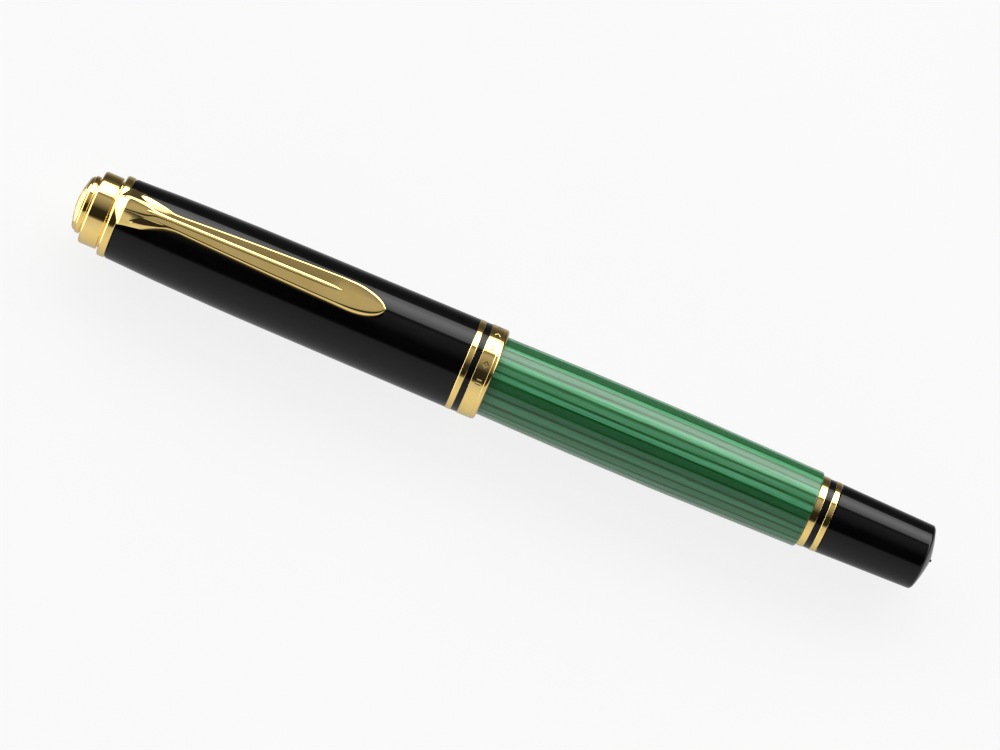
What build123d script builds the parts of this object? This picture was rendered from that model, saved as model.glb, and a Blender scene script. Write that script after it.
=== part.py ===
"""A piston-filled fountain pen, capped, lying along X with its clip uppermost.

Stations are distances along the pen from the tip of its finial, and radii are from its axis, all in mm.
The origin is under the middle of the pen, on the plane that the widest ring of the cap touches.
"""

import math
import os

from build123d import *

# ---------------------------------------------------------------- driving dimensions
TOTAL_LENGTH = 142.0
CAP_BAND_RADIUS = 7.35
BARREL_RADIUS = 6.5
SEAT_START = 84.0  # straight stretch of the barrel that a pen loop or holder grips
SEAT_END = 98.0
RUN = 0.03  # radial clearance of pieces that turn or slide on each other
GAP = 0.02  # clearance of pieces that are pressed or screwed together and stay put

# stations of the joints between the visible pieces
CROWN_END = 5.7
CLIP_RING_END = 7.15
CAP_RINGS_START = 63.87
CAP_SPACER_START = 64.9
CAP_BAND_START = 65.86
CAP_MOUTH = 68.75
NIB_POINT = 14.5
SECTION_RING_START = 37.8
SECTION_START = 38.8
COLLAR_START = 59.8
SLEEVE_START = 65.8
SLEEVE_END = 121.6
TAIL_SPACER_START = 122.8
TAIL_REAR_RING_START = 123.8
TAIL_END = 124.75
KNOB_START = 124.85
KNOB_EDGE = 140.35

# cap thread: four starts, three quarters of a turn to release
CAP_LEAD = 6.4
CAP_STARTS = 4
CAP_THREAD_LENGTH = 4.8
COLLAR_THREAD_START = 60.3

# filling mechanism: turns of the knob, and what one turn does
KNOB_LEAD = 1.3
PISTON_STROKE = 23.5
KNOB_TURNS = 3.5
SPINDLE_LEAD = KNOB_LEAD + PISTON_STROKE / KNOB_TURNS
SPINDLE_STARTS = 2

AXIS_HEIGHT = CAP_BAND_RADIUS
FINIAL_X = -TOTAL_LENGTH / 2
PROFILE = Plane(origin=(FINIAL_X, 0, AXIS_HEIGHT), x_dir=(1, 0, 0), z_dir=(0, -1, 0))
PLAN = Plane(origin=(FINIAL_X, 0, AXIS_HEIGHT), x_dir=(1, 0, 0), z_dir=(0, 0, 1))
PEN_AXIS = Axis((FINIAL_X, 0, AXIS_HEIGHT), (1, 0, 0))

os.makedirs("parts", exist_ok=True)


def save(piece, name):
    """Labels a finished piece and writes it as its own STEP file."""
    piece.part.label = name
    export_step(piece.part, f"parts/{name}.step")


def across(station):
    """The plane square to the pen's axis at a station, with its local Y pointing up."""
    return Plane(origin=(FINIAL_X + station, 0, AXIS_HEIGHT), x_dir=(0, 1, 0), z_dir=(1, 0, 0))


def turned(*outline):
    """A solid of revolution about the pen's axis from straight (station, radius) runs."""
    with BuildPart() as piece:
        with BuildSketch(PROFILE):
            with BuildLine():
                Polyline(*outline, close=True)
            make_face()
        revolve(axis=PEN_AXIS)
    return piece


def ring(start, end, inner, outer, edge=0.12):
    """A plain trim ring with its two outer edges broken."""
    with BuildPart() as piece:
        with BuildSketch(PROFILE):
            with Locations(((start + end) / 2, (inner + outer) / 2)):
                Rectangle(end - start, outer - inner)
        revolve(axis=PEN_AXIS)
        fillet(piece.edges().filter_by(GeomType.CIRCLE).group_by(SortBy.RADIUS)[-1], edge)
    return piece


def ridges(start, end, root, crest, lead, starts, foot, top, through, run_out=0.3):
    """The helical ridges of a right-hand thread between two stations, running out at both ends.

    foot and top are a ridge's widths at its root and at its crest; root is above crest on a female thread.
    The first ridge crosses one fixed side of the pen at the station called through.
    """
    embed = math.copysign(0.15, root - crest)
    first = start - lead / 4
    centre = Vector(FINIAL_X + first, 0, AXIS_HEIGHT)
    with BuildPart() as ridge:
        with BuildLine() as path:
            Helix(pitch=lead, height=end - start + lead / 2, radius=root, center=centre, direction=(1, 0, 0))
        section = Plane(origin=path.line @ 0, x_dir=path.line @ 0 - centre, z_dir=path.line % 0)
        with BuildSketch(section):
            with BuildLine():
                Polyline(
                    (embed, -foot / 2),
                    (crest - root, -top / 2),
                    (crest - root, top / 2),
                    (embed, foot / 2),
                    close=True,
                )
            make_face()
        sweep(path=path.line, is_frenet=True)
    reach = crest - embed
    backing = root + 2 * embed
    envelope = turned(
        (start, backing),
        (start, root),
        (start + run_out, reach),
        (end - run_out, reach),
        (end, root),
        (end, backing),
    )
    with BuildPart() as thread:
        for start_number in range(starts):
            angle = 360 * (start_number / starts - (through - first) / lead)
            add(ridge.part.rotate(PEN_AXIS, angle) & envelope.part)
    return thread.part


# ================================================================ cap: finial and clip
FINIAL_DISC_RADIUS = 3.15
CROWN_RADIUS = 5.85
CROWN_NECK_RADIUS = 5.3
CLIP_RING_RADIUS = 6.55
STUD_RADIUS = 1.48

# domed disc let into the end of the crown
with BuildPart() as finial_disc:
    with BuildSketch(PROFILE):
        with BuildLine():
            ThreePointArc((0, 0), (0.11, 1.6), (0.45, FINIAL_DISC_RADIUS))
            Polyline((0.45, FINIAL_DISC_RADIUS), (0.95, FINIAL_DISC_RADIUS), (0.95, 0), (0, 0))
        make_face()
    revolve(axis=PEN_AXIS)
save(finial_disc, "finial_disc")

# stepped crown that clamps the clip ring to the cap
with BuildPart() as finial_crown:
    with BuildSketch(PROFILE):
        with BuildLine():
            Polyline(
                (0.97, 0),
                (0.97, FINIAL_DISC_RADIUS + GAP),
                (0.5, FINIAL_DISC_RADIUS + GAP),
                (0.5, 3.35),
            )
            ThreePointArc((0.5, 3.35), (0.83, 4.15), (1.45, 4.6))
            Polyline((1.45, 4.6), (2.05, 4.65), (2.05, 4.4), (2.35, 4.4), (2.35, 5.5))
            ThreePointArc((2.35, 5.5), (2.45, 5.75), (2.7, CROWN_RADIUS))
            Polyline(
                (2.7, CROWN_RADIUS),
                (5.15, CROWN_RADIUS),
                (5.35, CROWN_RADIUS - 0.2),
                (5.35, CROWN_NECK_RADIUS),
                (CROWN_END, CROWN_NECK_RADIUS),
                (CROWN_END, STUD_RADIUS + GAP),
                (2.2, STUD_RADIUS + GAP),
                (2.2, 0),
                (0.97, 0),
            )
        make_face()
    revolve(axis=PEN_AXIS)
save(finial_crown, "finial_crown")

# screw through the clip ring into the cap's liner
finial_stud = turned((2.22, 0), (2.22, STUD_RADIUS), (9.4, STUD_RADIUS), (9.6, STUD_RADIUS - 0.2), (9.6, 0))
save(finial_stud, "finial_stud")

# ring of the clip, with the lug that its arm grows from
LUG_TOP = 7.35
with BuildPart() as clip_ring:
    with BuildSketch(PROFILE):
        with Locations(((CROWN_END + CLIP_RING_END) / 2, (STUD_RADIUS + 0.1 + CLIP_RING_RADIUS) / 2)):
            Rectangle(CLIP_RING_END - CROWN_END - 2 * GAP, CLIP_RING_RADIUS - STUD_RADIUS - 0.1)
    revolve(axis=PEN_AXIS)
    fillet(clip_ring.edges().filter_by(GeomType.CIRCLE).group_by(SortBy.RADIUS)[-1], 0.3)
    with BuildSketch(across(CROWN_END + 0.15)):
        with Locations((0, (CLIP_RING_RADIUS + LUG_TOP) / 2 - 0.4)):
            Rectangle(5.6, LUG_TOP - CLIP_RING_RADIUS + 0.8)
    extrude(amount=0.65)
save(clip_ring, "clip_ring")

# arm of the clip: a saddle at its root that narrows to a blade with a rounded tip
CLIP_TIP = 49.8
with BuildPart() as clip_arm:
    with BuildSketch(PROFILE):
        with BuildLine():
            Spline(
                (6.55, 6.85),
                (6.75, 7.75),
                (8.3, 8.25),
                (14.5, 8.2),
                (30, 8.55),
                (44, 8.9),
                (CLIP_TIP, 8.75),
            )
            Line((CLIP_TIP, 8.75), (CLIP_TIP, 8.2))
            Spline((CLIP_TIP, 8.2), (44, 7.95), (30, 7.6), (15, 7.2), (9, 7.0), (7.4, 6.85))
            Line((7.4, 6.85), (6.55, 6.85))
        make_face()
    extrude(amount=4, both=True)
    with BuildSketch(PLAN):
        with BuildLine():
            Spline((6.5, 3.1), (8.5, 2.7), (11.5, 2.05), (14.8, 1.5), (20, 1.55), (30, 1.9), (42, 2.35))
            Spline((42, 2.35), (46, 2.12), (49, 1.05), (CLIP_TIP, 0), tangents=((1, 0.02), (0, -1)))
            Line((6.5, 3.1), (6.5, 0))
            Line((6.5, 0), (CLIP_TIP, 0))
        make_face()
        mirror(about=Plane.XZ)
    extrude(amount=12, mode=Mode.INTERSECT)
    # pressed bead that bears on the cap
    with Locations(Location((FINIAL_X + 45.5, 0, AXIS_HEIGHT + 8.15))):
        Sphere(0.88)
save(clip_arm, "clip_arm")

# ================================================================ cap: tube, liner and rings
CAP_BORE = 6.0
CAP_THREAD_ROOT = 6.32
CAP_THREAD_CREST = 5.97
CAP_SEAT = 6.78
CAP_MOUTH_BORE = 6.52
CAP_THREAD_START = 59.4
CAP_COUNTERBORE = 65.35
LINER_END = 37.45

with BuildPart() as cap_tube:
    with BuildSketch(PROFILE):
        with BuildLine():
            Line((CLIP_RING_END, 2.6), (CLIP_RING_END, 6.42))
            Spline(
                (CLIP_RING_END, 6.42),
                (14, 6.76),
                (21.5, 6.96),
                (29.5, 7.08),
                (42, 7.15),
                (CAP_RINGS_START - GAP, 7.27),
                tangents=((1, 0.055), (1, 0.005)),
            )
            Polyline(
                (CAP_RINGS_START - GAP, 7.27),
                (CAP_RINGS_START - GAP, CAP_SEAT),
                (CAP_MOUTH - 0.45, CAP_SEAT),
                (CAP_MOUTH - 0.45, CAP_MOUTH_BORE),
                (CAP_COUNTERBORE, CAP_MOUTH_BORE),
                (CAP_COUNTERBORE, CAP_THREAD_ROOT),
                (CAP_THREAD_START, CAP_THREAD_ROOT),
                (CAP_THREAD_START, CAP_BORE),
                (8.35, CAP_BORE),
                (8.35, 2.6),
                (CLIP_RING_END, 2.6),
            )
        make_face()
    revolve(axis=PEN_AXIS)
    add(
        ridges(
            CAP_THREAD_START + 0.1,
            CAP_COUNTERBORE - 0.1,
            CAP_THREAD_ROOT,
            CAP_THREAD_CREST,
            CAP_LEAD,
            CAP_STARTS,
            foot=0.62,
            top=0.36,
            through=COLLAR_THREAD_START + CAP_LEAD / CAP_STARTS / 2,
        )
    )
save(cap_tube, "cap_tube")

# liner that seals round the nib; it carries no visible mark of its turning
inner_cap = turned(
    (8.4, STUD_RADIUS + RUN),
    (8.4, CAP_BORE - RUN - 0.3),
    (8.7, CAP_BORE - RUN),
    (LINER_END - 0.4, CAP_BORE - RUN),
    (LINER_END, CAP_BORE - RUN - 0.35),
    (LINER_END, 5.15),
    (10.2, 5.15),
    (10.2, 0),
    (9.7, 0),
    (9.7, STUD_RADIUS + RUN),
)
save(inner_cap, "inner_cap")

save(ring(CAP_RINGS_START, CAP_SPACER_START, CAP_SEAT + GAP, 7.31), "cap_trim_ring")
cap_spacer_ring = ring(CAP_SPACER_START + 0.005, CAP_BAND_START - 0.005, CAP_SEAT + GAP, 7.27, edge=0.05)
save(cap_spacer_ring, "cap_spacer_ring")

# broad band with a rolled lip over the mouth of the cap
with BuildPart() as cap_band:
    with BuildSketch(PROFILE):
        with BuildLine():
            Polyline(
                (CAP_MOUTH, CAP_MOUTH_BORE + 0.12),
                (CAP_MOUTH - 0.12, CAP_MOUTH_BORE),
                (CAP_MOUTH - 0.43, CAP_MOUTH_BORE),
                (CAP_MOUTH - 0.43, CAP_SEAT + GAP),
                (CAP_BAND_START, CAP_SEAT + GAP),
                (CAP_BAND_START, CAP_BAND_RADIUS - 0.1),
                (CAP_BAND_START + 0.1, CAP_BAND_RADIUS),
                (CAP_MOUTH - 0.7, CAP_BAND_RADIUS),
            )
            ThreePointArc(
                (CAP_MOUTH - 0.7, CAP_BAND_RADIUS),
                (CAP_MOUTH - 0.17, CAP_BAND_RADIUS - 0.24),
                (CAP_MOUTH, CAP_MOUTH_BORE + 0.12),
            )
        make_face()
    revolve(axis=PEN_AXIS)
save(cap_band, "cap_band")

# ================================================================ body: barrel, thread and grip
SLEEVE_BORE = 5.42
TUBE_BORE = 4.45
GUIDE_START = 104.0
GUIDE_KEY_LENGTH = 5.0
COLLAR_ROOT = 5.85
COLLAR_CREST = 6.25
NIB_UNIT_BORE = 4.1

with BuildPart() as barrel_sleeve:
    with BuildSketch(PROFILE):
        with BuildLine():
            Spline(
                (SLEEVE_START, 6.32),
                (71.5, 6.38),
                (78, 6.45),
                (SEAT_START, BARREL_RADIUS),
                tangents=((1, 0.01), (1, 0)),
            )
            Line((SEAT_START, BARREL_RADIUS), (SEAT_END, BARREL_RADIUS))
            Spline(
                (SEAT_END, BARREL_RADIUS),
                (105, 6.39),
                (112, 6.28),
                (SLEEVE_END - 0.25, 6.12),
                tangents=((1, 0), (1, -0.018)),
            )
            ThreePointArc((SLEEVE_END - 0.25, 6.12), (SLEEVE_END - 0.07, 6.04), (SLEEVE_END, 5.87))
            Polyline(
                (SLEEVE_END, 5.87),
                (SLEEVE_END, SLEEVE_BORE),
                (SLEEVE_START, SLEEVE_BORE),
                (SLEEVE_START, 6.32),
            )
        make_face()
    revolve(axis=PEN_AXIS)
save(barrel_sleeve, "barrel_sleeve")

ink_tube = turned(
    (SLEEVE_START + 0.05, TUBE_BORE),
    (SLEEVE_START + 0.05, SLEEVE_BORE - GAP),
    (GUIDE_START - 0.1, SLEEVE_BORE - GAP),
    (GUIDE_START - 0.1, TUBE_BORE),
)
save(ink_tube, "ink_tube")

# collar at the front of the barrel with the male cap thread
with BuildPart() as thread_collar:
    with BuildSketch(PROFILE):
        with BuildLine():
            Polyline(
                (COLLAR_START + GAP, TUBE_BORE + GAP),
                (COLLAR_START + GAP, COLLAR_ROOT - 0.15),
                (COLLAR_START + 0.2, COLLAR_ROOT),
                (SLEEVE_START - 0.35, COLLAR_ROOT),
                (SLEEVE_START - 0.35, 6.22),
                (SLEEVE_START - GAP, 6.22),
                (SLEEVE_START - GAP, TUBE_BORE + GAP),
                close=True,
            )
        make_face()
    revolve(axis=PEN_AXIS)
    add(
        ridges(
            COLLAR_THREAD_START,
            COLLAR_THREAD_START + CAP_THREAD_LENGTH,
            COLLAR_ROOT,
            COLLAR_CREST,
            CAP_LEAD,
            CAP_STARTS,
            foot=0.6,
            top=0.34,
            through=COLLAR_THREAD_START,
        )
    )
save(thread_collar, "thread_collar")

TENON_RADIUS = TUBE_BORE - RUN
with BuildPart() as grip_section:
    with BuildSketch(PROFILE):
        with BuildLine():
            Spline(
                (SECTION_START, 5.6),
                (40.6, 5.36),
                (45, 5.2),
                (51, 5.36),
                (COLLAR_START - 0.2, 5.74),
                tangents=((1, -0.2), (1, 0.02)),
            )
            Polyline(
                (COLLAR_START - 0.2, 5.74),
                (COLLAR_START, 5.6),
                (COLLAR_START, TENON_RADIUS),
                (69, TENON_RADIUS),
                (69, 3.6),
                (54, 3.6),
                (53.2, 2.4),
                (51.2, 2.4),
                (51.2, NIB_UNIT_BORE),
                (SECTION_RING_START + 0.1, NIB_UNIT_BORE),
                (SECTION_RING_START + 0.1, 4.7),
                (SECTION_START, 4.7),
                (SECTION_START, 5.6),
            )
        make_face()
    revolve(axis=PEN_AXIS)
save(grip_section, "grip_section")

save(ring(SECTION_RING_START, SECTION_START - 0.01, 4.72, 5.64, edge=0.3), "section_ring")

# ================================================================ body: nib unit
NIB_THICKNESS = 0.34
NIB_BASE_OUTER = 3.38
FEED_RADIUS = NIB_BASE_OUTER - NIB_THICKNESS - GAP
NIB_SHANK_END = 38.6
NIB_END = 15.3
SLIT_WIDTH = 0.13
VENT_STATION = 27.6
VENT_RADIUS = 0.6

nib_collar = turned(
    (37.5, NIB_BASE_OUTER + 0.35),
    (37.5, NIB_UNIT_BORE - 0.25),
    (37.7, NIB_UNIT_BORE - GAP),
    (51.0, NIB_UNIT_BORE - GAP),
    (51.0, NIB_BASE_OUTER + GAP),
    (NIB_SHANK_END, NIB_BASE_OUTER + GAP),
)
save(nib_collar, "nib_collar")


def nib_strip(station, centre, outer, half_angle):
    """The nib's cross-section: a strip of even thickness bent to a radius about a point under its middle."""
    swing = math.radians(half_angle)
    inner = outer - NIB_THICKNESS

    def on(radius, angle):
        return (radius * math.sin(angle), centre + radius * math.cos(angle))

    with BuildSketch(across(station)) as strip:
        with BuildLine():
            ThreePointArc(on(outer, -swing), on(outer, 0), on(outer, swing))
            Line(on(outer, swing), on(inner, swing))
            ThreePointArc(on(inner, swing), on(inner, 0), on(inner, -swing))
            Line(on(inner, -swing), on(outer, -swing))
        make_face()
    return strip.sketch


with BuildPart() as nib:
    extrude(nib_strip(NIB_SHANK_END, 0, NIB_BASE_OUTER, 88), amount=7.5)
    loft(
        [
            nib_strip(NIB_SHANK_END, 0, NIB_BASE_OUTER, 88),
            nib_strip(36.0, -0.35, 3.78, 80),
            nib_strip(31.5, -1.3, 4.7, 62),
            nib_strip(24, -1.15, 4.0, 39),
            nib_strip(18, -1.05, 3.2, 17),
            nib_strip(NIB_END, -1.3, 3.1, 9.5),
        ]
    )
    with BuildSketch(PLAN):
        with Locations(((VENT_STATION + 10) / 2, 0)):
            Rectangle(VENT_STATION - 10, SLIT_WIDTH)
        with Locations((VENT_STATION, 0)):
            Circle(VENT_RADIUS)
    extrude(amount=5, mode=Mode.SUBTRACT)
save(nib, "nib")

# welded writing point, split by the slit
POINT_RADIUS = 0.52
with BuildPart() as nib_tip:
    with Locations(Location((FINIAL_X + NIB_POINT + POINT_RADIUS, 0, AXIS_HEIGHT + 1.52))):
        Sphere(POINT_RADIUS)
    split(bisect_by=across(NIB_END - 0.01), keep=Keep.BOTTOM)
    with BuildSketch(PLAN):
        with Locations((NIB_POINT, 0)):
            Rectangle(4, SLIT_WIDTH)
    extrude(amount=5, mode=Mode.SUBTRACT)
save(nib_tip, "nib_tip")

# feed: a tapering bar under the nib, with comb slots round its visible underside
FEED_TIP = 18.0
FEED_END = 53.0
COMB_SLOTS = 14
COMB_PITCH = 0.8
COMB_START = 25.6
with BuildPart() as feed:
    with BuildSketch(PROFILE):
        with BuildLine():
            Polyline(
                (FEED_TIP, 0),
                (FEED_TIP, 1.7),
                (37, FEED_RADIUS - 0.12),
                (39, FEED_RADIUS),
                (51, FEED_RADIUS),
                (51, 2.0),
                (FEED_END, 2.0),
                (FEED_END, 0),
                close=True,
            )
        make_face()
    revolve(axis=PEN_AXIS)
    with BuildSketch(PROFILE):
        with BuildLine():
            Spline((FEED_TIP, 1.15), (21.5, -0.4), (27, -1.95), (34, -3.1))
            Polyline(
                (34, -3.1),
                (FEED_END, -3.1),
                (FEED_END, 3.1),
                (37, 3.1),
                (31, 2.72),
                (FEED_TIP, 1.5),
                (FEED_TIP, 1.15),
            )
        make_face()
    extrude(amount=4, both=True, mode=Mode.INTERSECT)
    for slot in range(COMB_SLOTS):
        with BuildSketch(across(COMB_START + slot * COMB_PITCH)):
            with Locations((0, -3.2)):
                Rectangle(8, 5.6)
            Circle(1.35, mode=Mode.SUBTRACT)
        extrude(amount=0.32, mode=Mode.SUBTRACT)
save(feed, "feed")

# ================================================================ body: tail of the barrel
GUIDE_NECK = 4.9
GUIDE_BORE = 4.18
ROD_RADIUS = 2.6
ROD_FLAT = 2.2
KNOB_THREAD_ROOT = 3.74
KNOB_THREAD_CREST = 4.06
KNOB_THREAD_WIDTHS = {"foot": 0.5, "top": 0.24}

# brass collar screwed into the tail: it holds the rings, keys the rod and carries the knob's thread
with BuildPart() as piston_guide:
    with BuildSketch(PROFILE):
        with BuildLine():
            Polyline(
                (GUIDE_START, 0),
                (GUIDE_START, SLEEVE_BORE - GAP),
                (SLEEVE_END - 0.4, SLEEVE_BORE - GAP),
                (SLEEVE_END - 0.4, GUIDE_NECK),
                (TAIL_END, GUIDE_NECK),
                (TAIL_END, GUIDE_BORE),
                (GUIDE_START + GUIDE_KEY_LENGTH, GUIDE_BORE),
                (GUIDE_START + GUIDE_KEY_LENGTH, 0),
                close=True,
            )
        make_face()
    revolve(axis=PEN_AXIS)
    with BuildSketch(across(GUIDE_START)):
        Circle(ROD_RADIUS + RUN)
        Rectangle(2 * (ROD_FLAT + RUN), 8, mode=Mode.INTERSECT)
    extrude(amount=GUIDE_KEY_LENGTH + 1, mode=Mode.SUBTRACT)
    add(
        ridges(
            122.2,
            TAIL_END - 0.1,
            GUIDE_BORE,
            GUIDE_BORE - (KNOB_THREAD_CREST - KNOB_THREAD_ROOT),
            KNOB_LEAD,
            1,
            through=KNOB_START + KNOB_LEAD / 2,
            run_out=0.25,
            **KNOB_THREAD_WIDTHS,
        )
    )
save(piston_guide, "piston_guide")

save(ring(SLEEVE_END + 0.01, TAIL_SPACER_START, GUIDE_NECK + GAP, 5.7), "tail_ring_front")
tail_spacer = ring(TAIL_SPACER_START + 0.005, TAIL_REAR_RING_START - 0.005, GUIDE_NECK + GAP, 5.62, edge=0.05)
save(tail_spacer, "tail_spacer")
save(ring(TAIL_REAR_RING_START, TAIL_END, GUIDE_NECK + GAP, 5.68), "tail_ring_rear")

# ================================================================ piston knob and spindle
KNOB_BORE = 4.12
SLEEVE_TIP = 117.6
HUB_START = 130.0
HUB_END = 134.0
SPINDLE_HEAD_RADIUS = 2.4

with BuildPart() as piston_knob:
    with BuildSketch(PROFILE):
        with BuildLine():
            Polyline(
                (HUB_END + 0.1, 0),
                (HUB_END + 0.1, KNOB_BORE),
                (KNOB_START, KNOB_BORE),
                (KNOB_START, 5.5),
                (KNOB_START + 0.12, 5.62),
                (KNOB_EDGE - 0.15, 5.27),
            )
            ThreePointArc((KNOB_EDGE - 0.15, 5.27), (KNOB_EDGE, 5.2), (KNOB_EDGE + 0.12, 5.02))
            Spline((KNOB_EDGE + 0.12, 5.02), (141.2, 2.8), (TOTAL_LENGTH, 0))
            Line((TOTAL_LENGTH, 0), (HUB_END + 0.1, 0))
        make_face()
    revolve(axis=PEN_AXIS)
save(piston_knob, "piston_knob")

# brass sleeve fixed in the knob: its outside screws in the guide, its hub holds the spindle
with BuildPart() as knob_sleeve:
    with BuildSketch(PROFILE):
        with BuildLine():
            Polyline(
                (SLEEVE_TIP, 3.0),
                (SLEEVE_TIP, KNOB_THREAD_ROOT),
                (KNOB_START + 0.05, KNOB_THREAD_ROOT),
                (KNOB_START + 0.05, KNOB_BORE - GAP),
                (HUB_END, KNOB_BORE - GAP),
                (HUB_END, 0),
                (HUB_END - 0.4, 0),
                (HUB_END - 0.4, SPINDLE_HEAD_RADIUS + GAP),
                (HUB_START, SPINDLE_HEAD_RADIUS + GAP),
                (HUB_START, 3.0),
                close=True,
            )
        make_face()
    revolve(axis=PEN_AXIS)
    add(
        ridges(
            SLEEVE_TIP + 0.1,
            124.6,
            KNOB_THREAD_ROOT,
            KNOB_THREAD_CREST,
            KNOB_LEAD,
            1,
            through=KNOB_START,
            run_out=0.25,
            **KNOB_THREAD_WIDTHS,
        )
    )
save(knob_sleeve, "knob_sleeve")

# stop ring at the sleeve's tip: it meets the guide's thread when the knob is right out
knob_stop_ring = turned((116.65, 3.0), (116.65, 3.95), (SLEEVE_TIP - RUN, 3.95), (SLEEVE_TIP - RUN, 3.0))
save(knob_stop_ring, "knob_stop_ring")

SPINDLE_ROOT = 1.15
SPINDLE_CREST = 1.55
SPINDLE_TIP = 95.7
with BuildPart() as spindle:
    with BuildSketch(PROFILE):
        with BuildLine():
            Polyline(
                (SPINDLE_TIP, 0),
                (SPINDLE_TIP, SPINDLE_ROOT),
                (HUB_START + GAP, SPINDLE_ROOT),
                (HUB_START + GAP, SPINDLE_HEAD_RADIUS),
                (HUB_END - 0.42, SPINDLE_HEAD_RADIUS),
                (HUB_END - 0.42, 0),
                close=True,
            )
        make_face()
    revolve(axis=PEN_AXIS)
    add(
        ridges(
            SPINDLE_TIP + 0.1,
            HUB_START - 0.3,
            SPINDLE_ROOT,
            SPINDLE_CREST,
            SPINDLE_LEAD,
            SPINDLE_STARTS,
            foot=1.1,
            top=0.8,
            through=SPINDLE_TIP,
        )
    )
save(spindle, "spindle")

# ================================================================ piston
ROD_BORE = 1.65
ROD_NOSE = 94.6
ROD_SHOULDER = 98.02
ROD_END = 129.6
SEAL_RADIUS = TUBE_BORE - 2 * RUN

with BuildPart() as piston_rod:
    with BuildSketch(PROFILE):
        with BuildLine():
            Polyline(
                (ROD_NOSE, 0),
                (ROD_NOSE, 2.0 - GAP),
                (ROD_SHOULDER, 2.0 - GAP),
                (ROD_SHOULDER, ROD_RADIUS),
                (ROD_END, ROD_RADIUS),
                (ROD_END, ROD_BORE),
                (95.4, ROD_BORE),
                (95.4, 0),
                close=True,
            )
        make_face()
    revolve(axis=PEN_AXIS)
    with BuildSketch(across(ROD_NOSE)):
        Rectangle(2 * ROD_FLAT, 8)
    extrude(amount=ROD_END - ROD_NOSE, mode=Mode.INTERSECT)
    add(
        ridges(
            ROD_END - 4.4,
            ROD_END - 0.1,
            ROD_BORE,
            1.25,
            SPINDLE_LEAD,
            SPINDLE_STARTS,
            foot=1.0,
            top=0.8,
            through=SPINDLE_TIP + SPINDLE_LEAD / SPINDLE_STARTS / 2,
        )
    )
save(piston_rod, "piston_rod")

# soft double-lipped plunger snapped on the rod's nose
piston_seal = turned(
    (93.0, 0),
    (93.0, 3.7),
    (93.25, SEAL_RADIUS),
    (94.3, SEAL_RADIUS),
    (94.7, 3.9),
    (96.4, 3.9),
    (96.8, SEAL_RADIUS),
    (97.85, SEAL_RADIUS),
    (98.0, 4.1),
    (98.0, 2.0),
    (94.58, 2.0),
    (94.58, 0),
)
save(piston_seal, "piston_seal")
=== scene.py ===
"""Fountain pen: the visual model on its CAD frame, with a studio floor, lights and a camera.

Stations are distances along the pen from its finial's tip and radii are from its axis, both in mm.
"""

import math

import bmesh
import bpy
from mathutils import Matrix, Vector


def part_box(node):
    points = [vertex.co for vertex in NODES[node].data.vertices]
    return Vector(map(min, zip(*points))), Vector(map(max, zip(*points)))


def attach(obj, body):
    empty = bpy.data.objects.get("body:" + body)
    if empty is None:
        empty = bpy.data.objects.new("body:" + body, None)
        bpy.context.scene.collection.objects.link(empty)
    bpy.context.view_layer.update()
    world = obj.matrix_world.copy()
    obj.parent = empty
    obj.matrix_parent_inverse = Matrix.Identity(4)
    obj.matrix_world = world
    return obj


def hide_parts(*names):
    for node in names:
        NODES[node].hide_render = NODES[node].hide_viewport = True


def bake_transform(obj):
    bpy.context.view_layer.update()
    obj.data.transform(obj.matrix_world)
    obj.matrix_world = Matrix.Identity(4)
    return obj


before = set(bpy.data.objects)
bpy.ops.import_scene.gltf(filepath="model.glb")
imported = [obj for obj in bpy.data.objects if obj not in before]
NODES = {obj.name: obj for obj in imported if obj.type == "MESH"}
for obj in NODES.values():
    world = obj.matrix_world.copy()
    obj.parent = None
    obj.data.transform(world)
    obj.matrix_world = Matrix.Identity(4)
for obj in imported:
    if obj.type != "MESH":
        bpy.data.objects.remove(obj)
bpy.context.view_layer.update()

MM = 0.001
FINIAL_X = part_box("finial_disc")[0][0]
AXIS_Z = (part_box("cap_band")[0][2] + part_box("cap_band")[1][2]) / 2

# ---------------------------------------------------------------- driving dimensions, in mm
PEN_LENGTH = 142.0
DISC_RADIUS = 3.13
CROWN_RADIUS = 5.85
CLIP_RING_RADIUS = 6.55
CAP_BORE = 6.0
CAP_RIM_RADIUS = 6.78  # the thinner rim of the cap, which carries its rings
CAP_MOUTH_BORE = 6.52
CAP_RING_BORE = 6.8
BAND_RADIUS = 7.35
BARREL_BORE = 5.42
TAIL_RING_BORE = 4.93
KNOB_BORE = 4.12
SECTION_RING_RADIUS = 5.64
GRIP_BORE = 4.1
GRIP_TENON_RADIUS = 4.42

# stations where one visible piece ends and the next begins, a hair apart
CROWN_END = 5.69
CLIP_RING_START = 5.72
CLIP_RING_END = 7.13
CAP_START = 7.16
SECTION_RING_START = 37.82
SECTION_RING_END = 38.79
GRIP_START = 38.8
GRIP_END = 59.8
COLLAR_START = 59.82
CAP_RIM_START = 63.85
TRIM_RING_START = 63.88
TRIM_RING_END = 64.89
CAP_SPACER_START = 64.9
CAP_SPACER_END = 65.86
COLLAR_END = 65.8
BARREL_START = 65.82
CAP_MOUTH = 68.75
BARREL_END = 121.6
KNOB_START = 124.86
KNOB_EDGE = 140.36

# the cap's thread, on the collar and inside the cap's mouth
CAP_LEAD = 6.4
CAP_STARTS = 4
MOUTH_THREAD_ROOT = 6.32
MOUTH_THREAD_CREST = 5.99
COLLAR_THREAD_ROOT = 5.85
COLLAR_THREAD_CREST = 6.23

# the clip
CLIP_START = 5.62
HEAD_END = 16.5  # the blade's own formula takes over here
CENTRE_LINE_END = 42.0
CLIP_BEND = 44.2  # the blade is widest here, before its rounded tip
CLIP_TIP = 49.8
BLADE_WAIST = 1.24  # half the blade's face across, behind the head
BLADE_WIDEST = 2.3


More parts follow.
